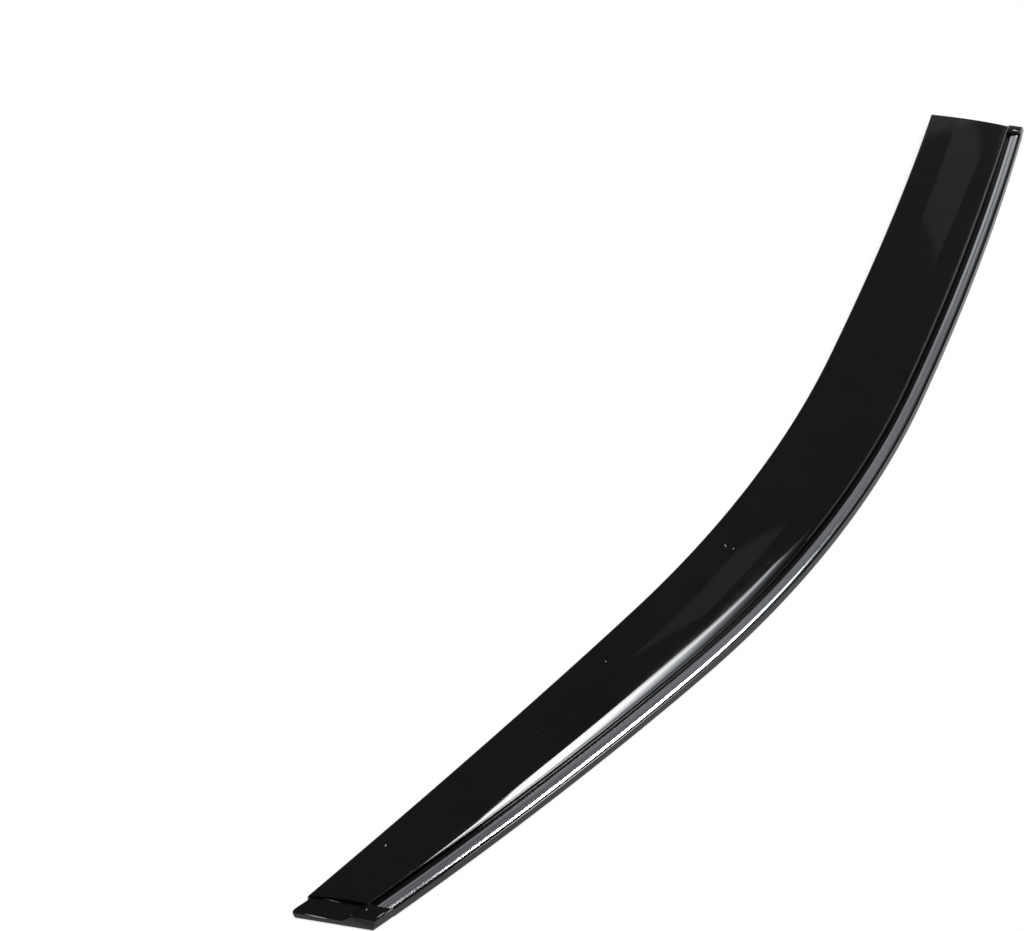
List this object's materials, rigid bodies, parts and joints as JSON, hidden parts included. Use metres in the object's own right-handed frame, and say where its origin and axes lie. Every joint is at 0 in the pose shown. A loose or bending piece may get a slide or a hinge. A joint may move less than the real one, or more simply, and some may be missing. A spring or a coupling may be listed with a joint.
{
  "type": "window rain deflector",
  "caption": "Glossy black moulded rain deflector for a front door window, with a bright trim strip along its roof edge and adhesive tape underneath.",
  "frame": {"origin": "underside of the roof edge tape, midway across it, at the middle of the roof edge's bend", "axes": "+X along the roof edge towards the square rear end, +Y towards the free edge, +Z out of the car, away from the adhesive face"},
  "size_m": [1.0264, 0.1823, 0.018],
  "materials": {
    "gloss_black": "high gloss",
    "bright_metal": "mirror bright",
    "foam_tape": "matt foam with a red liner"
  },
  "bodies": {
    "root": {"visor_body": "gloss_black", "trim_strip": "bright_metal", "tape_roof_edge": "foam_tape", "tape_front_pad": "foam_tape", "tape_rear_flange": "foam_tape"}
  },
  "joints": []
}
